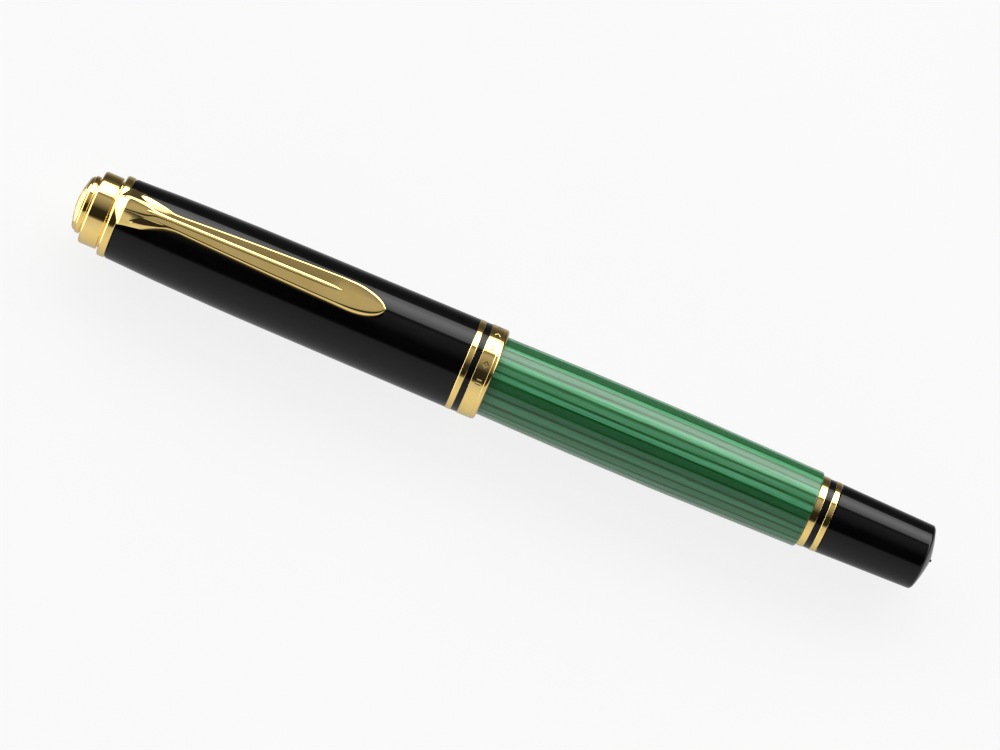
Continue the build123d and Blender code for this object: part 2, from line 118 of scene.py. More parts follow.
def station_of(node, end):
    """A CAD node's first (0) or last (1) station in mm."""
    return (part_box(node)[end][0] - FINIAL_X) / MM


def point(station, across, height):
    """A point given by its station, and its distances across and above the pen's axis, in mm."""
    return Vector((FINIAL_X + station * MM, across * MM, AXIS_Z + height * MM))


# ---------------------------------------------------------------- outlines
def flow(points, steps=8):
    """A smooth curve through (station, radius) points."""
    curve = []
    for i in range(len(points) - 1):
        before = points[max(i - 1, 0)]
        a, b = points[i], points[i + 1]
        after = points[min(i + 2, len(points) - 1)]
        for step in range(steps):
            t = step / steps
            curve.append(
                tuple(
                    0.5
                    * (
                        2 * a[k]
                        + (b[k] - before[k]) * t
                        + (2 * before[k] - 5 * a[k] + 4 * b[k] - after[k]) * t * t
                        + (3 * a[k] - before[k] - 3 * b[k] + after[k]) * t**3
                    )
                    for k in (0, 1)
                )
            )
    curve.append(points[-1])
    return curve


def eased(points, steps=4):
    """An outline whose corners, given as (station, radius, cut), are rounded that far along their sides."""
    outline = []
    for i, corner in enumerate(points):
        if len(corner) == 2 or corner[2] <= 0:
            outline.append(tuple(corner[:2]))
            continue
        here = Vector(corner[:2])
        before = Vector(points[i - 1][:2])
        after = Vector(points[(i + 1) % len(points)][:2])
        start = here + (before - here).normalized() * corner[2]
        end = here + (after - here).normalized() * corner[2]
        for step in range(steps + 1):
            t = step / steps
            outline.append(tuple(start * (1 - t) ** 2 + here * 2 * t * (1 - t) + end * t * t))
    return outline


# ---------------------------------------------------------------- meshes
SHARP_ANGLE = math.radians(33)


def finish_mesh(name, bm, sharp=SHARP_ANGLE):
    """An object from a bmesh, smooth except at edges that turn by more than the sharp angle."""
    bmesh.ops.remove_doubles(bm, verts=bm.verts, dist=1e-7)
    bmesh.ops.recalc_face_normals(bm, faces=bm.faces)
    for face in bm.faces:
        face.smooth = True
    for edge in bm.edges:
        edge.smooth = edge.is_manifold and edge.calc_face_angle(0) < sharp
    mesh = bpy.data.meshes.new(name)
    bm.to_mesh(mesh)
    bm.free()
    obj = bpy.data.objects.new(name, mesh)
    bpy.context.scene.collection.objects.link(obj)
    return obj


def lathe_mesh(name, outline, segments=144, relief=None):
    """A closed outline of (station, radius) turned about the axis, less its relief there.

    relief(angle, station, radius) gives a depth in mm.
    """
    bm = bmesh.new()
    rings = []
    for station, radius in outline:
        if radius < 1e-6:
            rings.append([bm.verts.new(point(station, 0, 0))] * segments)
            continue
        ring = []
        for i in range(segments):
            angle = math.tau * i / segments
            r = radius - (relief(angle, station, radius) if relief else 0)
            ring.append(bm.verts.new(point(station, r * math.sin(angle), r * math.cos(angle))))
        rings.append(ring)
    for k in range(len(rings)):
        a, b = rings[k], rings[(k + 1) % len(rings)]
        for i in range(segments):
            j = (i + 1) % segments
            corners = []
            for vert in (a[i], a[j], b[j], b[i]):
                if vert not in corners:
                    corners.append(vert)
            if len(corners) > 2:
                bm.faces.new(corners)
    return finish_mesh(name, bm)


def loft_mesh(name, sections, sharp=SHARP_ANGLE):
    """A closed solid through rings that all have the same number of points."""
    bm = bmesh.new()
    rings = [[bm.verts.new(p) for p in section] for section in sections]
    for a, b in zip(rings, rings[1:]):
        for i in range(len(a)):
            j = (i + 1) % len(a)
            bm.faces.new((a[i], a[j], b[j], b[i]))
    bm.faces.new(list(reversed(rings[0])))
    bm.faces.new(rings[-1])
    return finish_mesh(name, bm, sharp)


def place(obj, body, slot, material, *stands_for):
    """Gives a piece its material and its body, and hides the CAD nodes that it stands for; the slot is not
    used.
    """
    obj.data.materials.clear()
    obj.data.materials.append(material)
    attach(obj, body)
    if stands_for:
        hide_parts(*stands_for)
    return obj


# ---------------------------------------------------------------- materials
class Shader:
    """A material's node tree with short ways to add and join nodes."""

    def __init__(self, name):
        self.material = bpy.data.materials.new(name)
        self.material.use_nodes = True
        self.nodes = self.material.node_tree.nodes
        self.links = self.material.node_tree.links
        self.surface = self.nodes["Principled BSDF"]

    def add(self, kind, inputs=None, **settings):
        node = self.nodes.new(kind)
        for key, value in settings.items():
            setattr(node, key, value)
        for key, value in (inputs or {}).items():
            self.feed(node.inputs[key], value)
        return node

    def feed(self, socket, value):
        if isinstance(value, bpy.types.NodeSocket):
            self.links.new(value, socket)
        else:
            socket.default_value = value

    def math(self, operation, a, b=0.0, c=0.0):
        node = self.add("ShaderNodeMath", operation=operation)
        for socket, value in zip(node.inputs, (a, b, c)):
            self.feed(socket, value)
        return node.outputs[0]

    def millimetres(self, scale=(1, 1, 1)):
        """Place on the object in mm from the finial's tip and the pen's axis, scaled."""
        where = self.add("ShaderNodeTexCoord").outputs["Object"]
        shift = self.add("ShaderNodeVectorMath", {0: where, 1: (-FINIAL_X, 0, -AXIS_Z)}, operation="ADD")
        factors = tuple(s / MM for s in scale)
        scaled = self.add("ShaderNodeVectorMath", {0: shift.outputs[0], 1: factors}, operation="MULTIPLY")
        return scaled.outputs[0]

    def noise(self, scale=(1, 1, 1), detail=3.0, roughness=0.5):
        node = self.add("ShaderNodeTexNoise", {"Vector": self.millimetres(scale), "Scale": 1.0})
        self.feed(node.inputs["Detail"], detail)
        self.feed(node.inputs["Roughness"], roughness)
        return node.outputs["Fac"]

    def ramp(self, fac, stops):
        """Colours between stops of (position, colour)."""
        node = self.add("ShaderNodeValToRGB", {"Fac": fac})
        elements = node.color_ramp.elements
        while len(elements) < len(stops):
            elements.new(0.5)
        for element, (position, colour) in zip(elements, stops):
            element.position = position
            element.color = (*colour, 1)
        return node.outputs["Color"]

    def remap(self, value, low, high, to_low, to_high):
        node = self.add("ShaderNodeMapRange")
        for key, number in (("Value", value), ("From Min", low), ("From Max", high)):
            self.feed(node.inputs[key], number)
        self.feed(node.inputs["To Min"], to_low)
        self.feed(node.inputs["To Max"], to_high)
        return node.outputs[0]

    def mix(self, fac, a, b):
        node = self.add("ShaderNodeMix", data_type="RGBA")
        self.feed(node.inputs["Factor"], fac)
        self.feed(node.inputs["A"], a)
        self.feed(node.inputs["B"], b)
        return node.outputs["Result"]

    def bump(self, height, strength, distance):
        """Relief in the surface, its distance in mm."""
        inputs = {"Height": height, "Strength": strength, "Distance": distance * MM}
        self.links.new(self.add("ShaderNodeBump", inputs).outputs["Normal"], self.surface.inputs["Normal"])

    def set(self, **values):
        for key, value in values.items():
            self.feed(self.surface.inputs[key.replace("_", " ")], value)


def polished_gold(name, light, dark, rough=(0.035, 0.09)):
    """Gold plate with faint polishing marks and slow changes of tone."""
    s = Shader(name)
    tone = s.noise((0.35, 0.5, 0.5), detail=4.0)
    marks = s.noise((2.2, 14.0, 14.0), detail=6.0, roughness=0.7)
    s.set(Metallic=1.0)
    s.set(Base_Color=s.ramp(tone, [(0.3, dark), (0.7, light)]))
    s.set(Roughness=s.remap(marks, 0.35, 0.7, rough[0], rough[1]))
    s.bump(marks, 0.05, 0.02)
    return s.material


def glossy_resin(name, light, dark, rough, mark_strength=0.04):
    """Polished resin with fine hairline marks and a little unevenness."""
    s = Shader(name)
    tone = s.noise((0.25, 0.6, 0.6), detail=5.0)
    marks = s.noise((5.0, 0.9, 0.9), detail=8.0, roughness=0.75)
    specks = s.noise((7.0, 7.0, 7.0), detail=2.0)
    s.set(Base_Color=s.ramp(tone, [(0.35, dark), (0.7, light)]))
    clean = s.remap(marks, 0.4, 0.75, rough[0], rough[1])
    dusty = s.math("GREATER_THAN", specks, 0.77)
    s.set(Roughness=s.math("MULTIPLY_ADD", dusty, 0.25, clean))
    s.set(IOR=1.34)
    s.bump(marks, mark_strength, 0.02)
    return s.material


BAND_COUNT = 30
DEEP_GREEN = (0.012, 0.070, 0.024, 1)
MOSS = (0.085, 0.19, 0.012, 1)
VIVID_GREEN = (0.003, 0.085, 0.009, 1)
LINE_GREEN = (0.002, 0.012, 0.006, 1)
UMBER = (0.02, 0.022, 0.012, 1)
BAND_TONES = [
    (0.0, (0.010, 0.060, 0.026)),
    (0.3, (0.024, 0.120, 0.056)),
    (0.6, (0.055, 0.225, 0.115)),
    (1.0, (0.105, 0.370, 0.200)),
]


def striped_resin(name):
    """Cellulose bands running along the barrel, parted by thin dark lines, under a clear polish."""
    s = Shader(name)
    where = s.add("ShaderNodeSeparateXYZ", {0: s.millimetres()})
    angle = s.math("ARCTAN2", where.outputs["Y"], where.outputs["Z"])
    turn = s.math("ADD", s.math("DIVIDE", angle, math.tau), 0.5)
    drift = s.noise((0.012, 0.33, 0.33), detail=1.0)
    wander = s.math("MULTIPLY", s.math("SUBTRACT", drift, 0.5), 1.5)
    band = s.math("ADD", s.math("MULTIPLY", turn, BAND_COUNT), wander)
    number = s.math("MODULO", s.math("FLOOR", band), BAND_COUNT)
    edge = s.math("ABSOLUTE", s.math("SUBTRACT", s.math("FRACT", band), 0.5))

    def chance(shift):
        """A number from 0 to 1 for each band."""
        seed = s.math("ADD", number, shift)
        return s.add("ShaderNodeTexWhiteNoise", {"W": seed}, noise_dimensions="1D").outputs["Value"]

    mossiness = chance(61.7)
    fibres = s.noise((0.05, 9.0, 9.0), detail=5.0, roughness=0.65)
    grain = s.noise((1.6, 16.0, 16.0), detail=4.0, roughness=0.7)
    colour = s.mix(s.remap(fibres, 0.35, 0.7, 0.0, 0.8), s.ramp(chance(0.0), BAND_TONES), DEEP_GREEN)
    colour = s.mix(s.math("MULTIPLY", s.remap(grain, 0.5, 0.72, 0.0, 0.6), mossiness), colour, MOSS)
    rim = s.remap(edge, 0.24, 0.40, 0.0, 1.0)
    colour = s.mix(s.math("MULTIPLY", rim, 0.85), colour, VIVID_GREEN)
    line = s.remap(edge, s.remap(mossiness, 0.0, 1.0, 0.38, 0.45), 0.48, 0.0, 1.0)
    breaks = s.remap(s.noise((0.09, 2.4, 2.4), detail=2.0), 0.42, 0.5, 0.6, 1.0)
    colour = s.mix(s.math("MULTIPLY", line, breaks), colour, LINE_GREEN)
    dashes = s.remap(s.noise((0.11, 5.5, 5.5), detail=1.0), 0.67, 0.7, 0.0, 0.85)
    beside_line = s.math("GREATER_THAN", edge, 0.3)
    colour = s.mix(s.math("MULTIPLY", dashes, beside_line), colour, UMBER)
    s.set(Base_Color=colour)
    s.set(Roughness=s.remap(grain, 0.3, 0.7, 0.22, 0.36), IOR=1.3)
    s.set(Coat_Weight=1.0, Coat_Roughness=0.03, Coat_IOR=1.36)
    s.bump(fibres, 0.05, 0.02)
    return s.material


def two_tone_nib(name, gold, pale):
    """Gold nib with a rhodium-plated inner field bounded by a fine engraved line."""
    s = Shader(name)
    where = s.add("ShaderNodeSeparateXYZ", {0: s.millimetres()})
    side = s.math("ABSOLUTE", where.outputs["Y"])
    reach = s.remap(where.outputs["X"], 16.5, 34.0, 0.25, 3.0)
    inside = s.math("SUBTRACT", reach, side)
    plated = s.math("GREATER_THAN", inside, 0.0)
    line = s.math("LESS_THAN", s.math("ABSOLUTE", inside), 0.09)
    marks = s.noise((3.0, 12.0, 12.0), detail=6.0, roughness=0.7)
    toned = s.mix(plated, gold, pale)
    s.set(Metallic=1.0)
    s.set(Base_Color=s.mix(s.math("MULTIPLY", line, 0.7), toned, (0.12, 0.08, 0.04, 1)))
    s.set(Roughness=s.remap(marks, 0.35, 0.7, 0.08, 0.17))
    s.bump(s.math("MULTIPLY_ADD", line, -1.0, s.math("MULTIPLY", marks, 0.1)), 0.3, 0.04)
    return s.material


def machined(name, light, dark, metallic, rough, ring_scale=6.0):
    """A hidden turned or moulded piece, with faint tool rings and uneven tone."""
    s = Shader(name)
    tone = s.noise((0.6, 0.6, 0.6), detail=4.0)
    rings = s.noise((ring_scale, 0.4, 0.4), detail=5.0, roughness=0.7)
    s.set(Metallic=metallic)
    s.set(Base_Color=s.ramp(tone, [(0.3, dark), (0.7, light)]))
    s.set(Roughness=s.remap(rings, 0.3, 0.7, rough[0], rough[1]))
    s.bump(rings, 0.12, 0.03)
    return s.material


def clear_resin(name):
    """Smoky clear resin of the ink tube."""
    s = Shader(name)
    tone = s.noise((0.3, 0.5, 0.5), detail=3.0)
    s.set(Base_Color=s.ramp(tone, [(0.3, (0.62, 0.72, 0.66)), (0.7, (0.72, 0.8, 0.75))]))
    s.set(Roughness=s.remap(tone, 0.3, 0.7, 0.05, 0.12))
    s.set(Transmission_Weight=0.85, IOR=1.5)
    return s.material


def grey(level):
    return (level, level, level)


GOLD = polished_gold("trim_gold_mat", (0.96, 0.71, 0.27), (0.92, 0.66, 0.225))
MEDALLION_GOLD = polished_gold("medallion_gold_mat", (0.93, 0.68, 0.27), (0.85, 0.6, 0.21), (0.09, 0.2))
BLACK = glossy_resin("black_resin_mat", grey(0.0016), grey(0.0008), (0.035, 0.075), mark_strength=0.02)
SPACER_BLACK = glossy_resin("spacer_black_mat", grey(0.003), grey(0.0015), (0.08, 0.14))
LINER = machined("liner_mat", (0.035, 0.035, 0.038), (0.02, 0.02, 0.022), 0.0, (0.32, 0.45))
FEED_BLACK = machined(
    "feed_mat", (0.022, 0.022, 0.024), (0.012, 0.012, 0.013), 0.0, (0.3, 0.42), ring_scale=3.0
)
GREEN = striped_resin("striped_green_mat")
CLEAR = clear_resin("clear_resin_mat")
BRASS = machined("brass_mat", (0.8, 0.6, 0.28), (0.7, 0.5, 0.2), 1.0, (0.2, 0.34))
STEEL = machined("steel_mat", (0.7, 0.7, 0.69), (0.56, 0.56, 0.56), 1.0, (0.18, 0.32))
ROD = machined("rod_mat", (0.06, 0.06, 0.062), (0.035, 0.035, 0.037), 0.0, (0.3, 0.45))
SEAL = machined("seal_mat", (0.72, 0.71, 0.68), (0.6, 0.59, 0.56), 0.0, (0.45, 0.6), ring_scale=2.0)
NIB_GOLD = two_tone_nib("nib_gold_mat", (0.93, 0.68, 0.33, 1), (0.78, 0.77, 0.75, 1))

# ---------------------------------------------------------------- finial
DISC_RAYS = 24
RAYS_INNER, RAYS_OUTER = 0.9, 2.55
GROOVE_INNER, GROOVE_OUTER = 2.62, 2.8
DISC_BACK = 0.95
CROWN_BORE = 1.6


def dome(radius):
    """Station of the disc's domed face at a radius."""
    return 0.45 * (radius / DISC_RADIUS) ** 2.2


def ray_depth(angle, radius):
    """Plain radiating flutes between a raised rim and a plain centre."""
    fade = min((radius - RAYS_INNER) / 0.35, (RAYS_OUTER - radius) / 0.2, 1)
    return 0.075 * max(fade, 0) * (0.5 - 0.5 * math.cos(angle * DISC_RAYS))


def medallion():
    """The finial's disc: domed, grooved near its rim, and with its flutes pressed in along the axis."""
    face = [(dome(r), r) for r in [DISC_RADIUS * i / 34 for i in range(34)] if r < GROOVE_INNER]
    groove = [(dome(GROOVE_INNER) + 0.07, 2.68), (dome(2.74), 2.78)]
    rim = [(dome(GROOVE_OUTER), GROOVE_OUTER), (0.43, DISC_RADIUS, 0.12)]
    rim += [(DISC_BACK, DISC_RADIUS), (DISC_BACK, 0)]
    obj = lathe_mesh("finial_disc_face", face + groove + eased(rim), 240)
    for vertex in obj.data.vertices:
        across, up = vertex.co.y / MM, (vertex.co.z - AXIS_Z) / MM
        if vertex.co.x - FINIAL_X < 0.6 * MM:
            vertex.co.x += ray_depth(math.atan2(across, up), math.hypot(across, up)) * MM
    return obj


place(medallion(), "cap", "medallion_gold", MEDALLION_GOLD, "finial_disc")

crown_outline = eased(
    [
        (0.97, 0),
        (0.97, 3.16),
        (0.5, 3.16, 0.04),
        (0.5, 3.42, 0.06),
        (0.62, 3.95, 0.15),
        (0.98, 4.35, 0.15),
        (1.3, 4.42, 0.08),
        (1.36, 4.64, 0.08),
        (2.05, 4.66, 0.1),
        (2.08, 4.42, 0.04),
        (2.36, 4.42, 0.04),
        (2.36, CROWN_RADIUS, 0.42),
        (5.36, CROWN_RADIUS, 0.16),
        (5.36, 5.42, 0.05),
        (CROWN_END, 5.42),
        (CROWN_END, CROWN_BORE),
        (2.3, CROWN_BORE),
        (2.3, 0),
    ],
    steps=6,
)
place(lathe_mesh("finial_crown_body", crown_outline), "cap", "trim_gold", GOLD, "finial_crown")


# ---------------------------------------------------------------- cap
def ring_outline(start, end, bore, radius, cut, steps=5):
    """A plain ring with rounded outer edges."""
    return eased([(start, bore), (start, radius, cut), (end, radius, cut), (end, bore)], steps)


clip_ring = ring_outline(CLIP_RING_START, CLIP_RING_END, 1.62, CLIP_RING_RADIUS, 0.42, steps=7)
place(lathe_mesh("clip_ring_body", clip_ring), "cap", "trim_gold", GOLD, "clip_ring")

STUD_CLEARANCE = 2.6
CAP_FLOOR = 8.35
MOUTH_THREAD_START = 59.4
MOUTH_COUNTERBORE = 65.35
CAP_RIM_END = 68.3
cap_skin = flow(
    [
        (7.4, 6.5),
        (10.3, 6.6),
        (14.1, 6.77),
        (17.9, 6.88),
        (21.7, 6.97),
        (25.6, 7.04),
        (29.4, 7.09),
        (41, 7.15),
        (63.6, 7.26),
    ]
)
cap_rim = [
    (CAP_RIM_START, 7.27, 0.06),
    (CAP_RIM_START, CAP_RIM_RADIUS),
    (CAP_RIM_END, CAP_RIM_RADIUS),
    (CAP_RIM_END, CAP_MOUTH_BORE, 0.05),
    (MOUTH_COUNTERBORE, CAP_MOUTH_BORE),
]
cap_inside = [
    (MOUTH_COUNTERBORE, MOUTH_THREAD_ROOT),
    (MOUTH_THREAD_START, MOUTH_THREAD_ROOT),
    (MOUTH_THREAD_START, CAP_BORE),
    (CAP_FLOOR, CAP_BORE),
    (CAP_FLOOR, STUD_CLEARANCE),
]
cap_outline = [(CAP_START, STUD_CLEARANCE)] + eased([(CAP_START, 6.38), (7.2, 6.46, 0.02)])
cap_outline += cap_skin + eased(cap_rim) + cap_inside
place(lathe_mesh("cap_tube_shell", cap_outline, 192), "cap", "black_resin", BLACK, "cap_tube")


def thread_mesh(name, start, end, root, crest, foot, top, lag=0.0):
    """The cap thread's ridges, foot and top wide; lag turns them by a share of the space between starts."""
    bm = bmesh.new()
    steps = 60
    for number in range(CAP_STARTS):
        rings = []
        for step in range(steps + 1):
            travel = (end - start) * step / steps
            middle = start + travel
            angle = math.tau * ((number + lag) / CAP_STARTS - travel / CAP_LEAD)
            height = min(1, travel / 0.5, (end - middle) / 0.5)
            outer = root + (crest - root) * max(height, 0.02)
            buried = root - math.copysign(0.12, crest - root)
            corners = ((-foot / 2, buried), (-foot / 2, root), (-top / 2, outer))
            corners += ((top / 2, outer), (foot / 2, root), (foot / 2, buried))
            rings.append(
                [
                    bm.verts.new(point(middle + shift, r * math.sin(angle), r * math.cos(angle)))
                    for shift, r in corners
                ]
            )
        for a, b in zip(rings, rings[1:]):
            for i in range(len(a)):
                j = (i + 1) % len(a)
                bm.faces.new((a[i], a[j], b[j], b[i]))
        bm.faces.new(list(reversed(rings[0])))
        bm.faces.new(rings[-1])
    return finish_mesh(name, bm)


mouth_thread = thread_mesh(
    "cap_mouth_thread", 59.8, 64.9, MOUTH_THREAD_ROOT, MOUTH_THREAD_CREST, foot=0.62, top=0.36, lag=0.5
)
place(mouth_thread, "cap", "black_resin", BLACK)

trim_ring = ring_outline(TRIM_RING_START, TRIM_RING_END, CAP_RING_BORE, 7.31, 0.16)
place(lathe_mesh("cap_trim_ring_body", trim_ring), "cap", "trim_gold", GOLD, "cap_trim_ring")
spacer = ring_outline(CAP_SPACER_START, CAP_SPACER_END, CAP_RING_BORE, 7.25, 0.05, steps=4)
place(lathe_mesh("cap_spacer_body", spacer), "cap", "black_resin", SPACER_BLACK, "cap_spacer_ring")

BAND_START = station_of("cap_band", 0)
BAND_END = station_of("cap_band", 1)
MOTIFS = 16
MOTIF_DEPTH = 0.04
BAND_FACE_LENGTH = 1.75


def band_relief(angle, station, radius):
    """A sparse engraved row of plain lozenges and short bars round the band's middle."""
    if radius < 7.2:
        return 0
    offset = abs(station - (BAND_START + BAND_END) / 2 + 0.2)
    turn = angle / math.tau * MOTIFS
    along = (turn % 1 - 0.5) * math.tau * radius / MOTIFS
    if int(turn) % 2:
        inside = 1 - (abs(along) / 0.62 + offset / 0.5)
        return MOTIF_DEPTH * min(max(inside / 0.2, 0), 1)
    bar = max(0.10 - abs(abs(along) - 0.3), 0) / 0.06
    return MOTIF_DEPTH * min(bar, max(0.42 - offset, 0) / 0.08, 1)


band_edge = [(BAND_START, CAP_RING_BORE), (BAND_START, 7.24), (BAND_START + 0.04, 7.31)]
band_face = [(BAND_START + 0.12 + BAND_FACE_LENGTH * i / 40, BAND_RADIUS) for i in range(41)]
band_groove = [(67.95, BAND_RADIUS), (68.0, 7.315), (68.06, BAND_RADIUS)]
band_lip = [
    (68.2, BAND_RADIUS),
    (68.4, 7.31),
    (68.58, 7.22),
    (68.7, 7.06),
    (CAP_MOUTH, 6.85),
    (CAP_MOUTH, 6.66),
    (68.71, 6.56),
    (68.63, CAP_MOUTH_BORE),
    (68.32, CAP_MOUTH_BORE),
    (68.32, CAP_RING_BORE),
]
band = lathe_mesh("cap_band_body", band_edge + band_face + band_groove + band_lip, 960, band_relief)
place(band, "cap", "trim_gold", GOLD, "cap_band")

# ---------------------------------------------------------------- barrel
barrel_skin = flow(
    [
        (65.9, 6.32),
        (71.5, 6.38),
        (78, 6.45),
        (84, 6.5),
        (98, 6.5),
        (105, 6.39),
        (112, 6.28),
        (121.2, 6.13),
    ]
)
barrel_tail = [(121.42, 6.09), (121.54, 6.0), (121.59, 5.88), (BARREL_END, BARREL_BORE)]
barrel_outline = [(BARREL_START, BARREL_BORE), (BARREL_START, 6.28)] + barrel_skin + barrel_tail
barrel = lathe_mesh("barrel_sleeve_shell", barrel_outline, 192)
place(barrel, "body", "striped_green", GREEN, "barrel_sleeve")

tail_front = ring_outline(121.62, 122.79, TAIL_RING_BORE, 5.7, 0.14)
place(lathe_mesh("tail_ring_front_body", tail_front), "body", "trim_gold", GOLD, "tail_ring_front")
tail_spacer = ring_outline(122.8, 123.79, TAIL_RING_BORE, 5.61, 0.05)
place(lathe_mesh("tail_spacer_body", tail_spacer), "body", "black_resin", SPACER_BLACK, "tail_spacer")
tail_rear = ring_outline(123.8, 124.76, TAIL_RING_BORE, 5.68, 0.14)
place(lathe_mesh("tail_ring_rear_body", tail_rear), "body", "trim_gold", GOLD, "tail_ring_rear")

# ---------------------------------------------------------------- knob
KNOB_BORE_END = 134.1
knob_side = [(KNOB_START, 5.63, 0.12), (128, 5.53), (KNOB_EDGE, 5.22, 0.28), (140.62, 4.85)]
knob_cone = flow([(140.66, 4.78), (141.05, 3.6), (141.4, 2.2), (141.66, 0.9), (141.74, 0.32)], steps=5)
knob_point = [(141.85, 0.2), (141.98, 0.13), (PEN_LENGTH, 0)]
knob_outline = [(KNOB_BORE_END, 0), (KNOB_BORE_END, KNOB_BORE), (KNOB_START, KNOB_BORE)]
knob_outline += eased(knob_side, steps=6) + knob_cone + knob_point
place(lathe_mesh("piston_knob_body", knob_outline), "knob", "black_resin", BLACK, "piston_knob")

# ---------------------------------------------------------------- grip
COLLAR_BORE = 4.47
COLLAR_LEDGE = 65.45
collar_outline = eased(
    [
        (COLLAR_START, COLLAR_BORE),
        (COLLAR_START, COLLAR_THREAD_ROOT, 0.15),
        (COLLAR_LEDGE, COLLAR_THREAD_ROOT),
        (COLLAR_LEDGE, 6.22, 0.08),
        (COLLAR_END, 6.22, 0.04),
        (COLLAR_END, COLLAR_BORE),
    ]
)
place(lathe_mesh("thread_collar_body", collar_outline), "body", "black_resin", BLACK, "thread_collar")
collar_thread = thread_mesh(
    "thread_collar_thread", 60.3, 65.1, COLLAR_THREAD_ROOT, COLLAR_THREAD_CREST, foot=0.6, top=0.34
)
place(collar_thread, "body", "black_resin", BLACK)

SECTION_RING_BORE = 4.72
TENON_END = 69.0
TENON_BORE = 3.6
NECK_BORE = 2.4
grip_front = [(GRIP_START, 4.7)] + eased([(GRIP_START, 5.58, 0.12), (39.05, 5.53)])
grip_waist = [(40.6, 5.36), (45, 5.2), (51, 5.36)]
grip_skin = flow([(39.05, 5.52), (39.6, 5.46)] + grip_waist + [(56, 5.58), (59.55, 5.73)])
grip_tenon = [
    (59.78, 5.74, 0.1),
    (GRIP_END, GRIP_TENON_RADIUS),
    (TENON_END, GRIP_TENON_RADIUS),
    (TENON_END, TENON_BORE),
    (54, TENON_BORE),
    (53.2, NECK_BORE),
    (51.2, NECK_BORE),
]
grip_inside = [(51.2, GRIP_BORE), (37.9, GRIP_BORE), (37.9, 4.7)]
grip_outline = grip_front + grip_skin + eased(grip_tenon) + grip_inside
place(lathe_mesh("grip_section_body", grip_outline), "body", "black_resin", BLACK, "grip_section")
section_ring = ring_outline(
    SECTION_RING_START, SECTION_RING_END, SECTION_RING_BORE, SECTION_RING_RADIUS, 0.3, steps=6
)
place(lathe_mesh("section_ring_body", section_ring), "body", "trim_gold", GOLD, "section_ring")


# ---------------------------------------------------------------- clip
def clamp(value, low=0.0, high=1.0):
    return min(max(value, low), high)


def blade_half_width(station):
    """Half the blade's top face across, which ends in half an ellipse."""
    if station > CLIP_BEND:
        past = (station - CLIP_BEND) / (CLIP_TIP - CLIP_BEND)
        return BLADE_WIDEST * math.sqrt(max(0, 1 - past**2))
    t = clamp((station - 15) / (CLIP_BEND - 15))
    return BLADE_WAIST + (BLADE_WIDEST - BLADE_WAIST) * t * (1.45 - 0.45 * t)


def blade_top(station):
    """Height of the blade's top face above the pen's axis."""
    t = (station - 12) / (CLIP_TIP - 12)
    return 7.85 + 1.05 * t - 0.22 * max(0, t - 0.8) ** 2 / 0.04


# Half of the clip head's cross-section at a station, as (across, height) of the edge of the tongue's face,
# the edge of the beam, the inner and outer sides of the sloping flank, the lip and its foot; the underside's
# height is last.
CLIP_HEAD = (
    (5.62, ((0.80, 6.20), (1.08, 6.14), (1.65, 5.90), (2.30, 5.76), (2.90, 5.62), (3.08, 5.52)), 5.1),
    (6.00, ((0.86, 6.48), (1.15, 6.42), (1.75, 6.10), (2.42, 5.84), (3.00, 5.64), (3.18, 5.50)), 5.2),
    (6.50, ((0.92, 6.87), (1.20, 6.78), (1.85, 6.33), (2.50, 5.90), (3.08, 5.60), (3.20, 5.42)), 5.3),
    (7.00, ((0.95, 7.26), (1.22, 7.16), (1.90, 6.62), (2.50, 6.15), (3.08, 5.69), (3.18, 5.50)), 5.4),
    (7.40, ((0.95, 7.50), (1.22, 7.40), (2.00, 6.78), (2.50, 6.38), (3.06, 5.93), (3.16, 5.72)), 5.5),
    (8.00, ((0.93, 7.62), (1.21, 7.52), (2.05, 6.85), (2.50, 6.49), (2.97, 6.11), (3.07, 5.90)), 5.8),
    (8.70, ((0.88, 7.66), (1.18, 7.56), (2.15, 6.79), (2.30, 6.67), (2.84, 6.25), (2.98, 6.02)), 6.1),
    (9.40, ((0.81, 7.70), (1.18, 7.58), (1.80, 7.09), (2.34, 6.92), (2.62, 6.70), (2.95, 6.26)), 6.5),
    (9.80, ((0.77, 7.72), (1.18, 7.58), (1.60, 7.26), (2.33, 7.03), (2.56, 6.84), (2.90, 6.30)), 6.66),
    (10.4, ((0.68, 7.75), (1.19, 7.61), (1.36, 7.48), (2.28, 7.17), (2.48, 7.01), (2.82, 6.34)), 6.7),
    (11.0, ((0.56, 7.79), (1.20, 7.66), (1.31, 7.55), (2.18, 7.25), (2.36, 7.11), (2.68, 6.38)), 6.74),
    (12.1, ((0.27, 7.86), (1.20, 7.76), (1.30, 7.64), (1.96, 7.40), (2.12, 7.26), (2.34, 6.46)), 6.8),
    (13.3, ((0.23, 7.91), (1.14, 7.84), (1.26, 7.72), (1.70, 7.56), (1.80, 7.44), (1.97, 6.62)), 6.85),
    (14.5, ((0.22, 7.94), (1.06, 7.89), (1.19, 7.82), (1.37, 7.74), (1.43, 7.60), (1.64, 6.86)), 6.95),
)


def blade_corners(station):
    """The same corners and underside along the blade."""
    half = max(blade_half_width(station), 0.08)
    near_tip = clamp((station - CENTRE_LINE_END) / 5)
    bevel = min(0.24 + 0.26 * near_tip, 0.8 * half)
    top = blade_top(station) - 0.35 * max(0, near_tip - 0.5) ** 2
    edge = half - bevel
    corners = (
        (min(0.22, edge * 0.5), top + 0.05 * clamp(CENTRE_LINE_END - station)),
        (edge, top),
        (edge + 0.5 * bevel, top - 0.18 * bevel),
        (edge + 0.85 * bevel, top - 0.42 * bevel),
        (half + 0.03, top - 0.5 * bevel - 0.14),
        (half + 0.16, top - 0.88),
    )
    return corners, top - 0.93 + 0.2 * near_tip


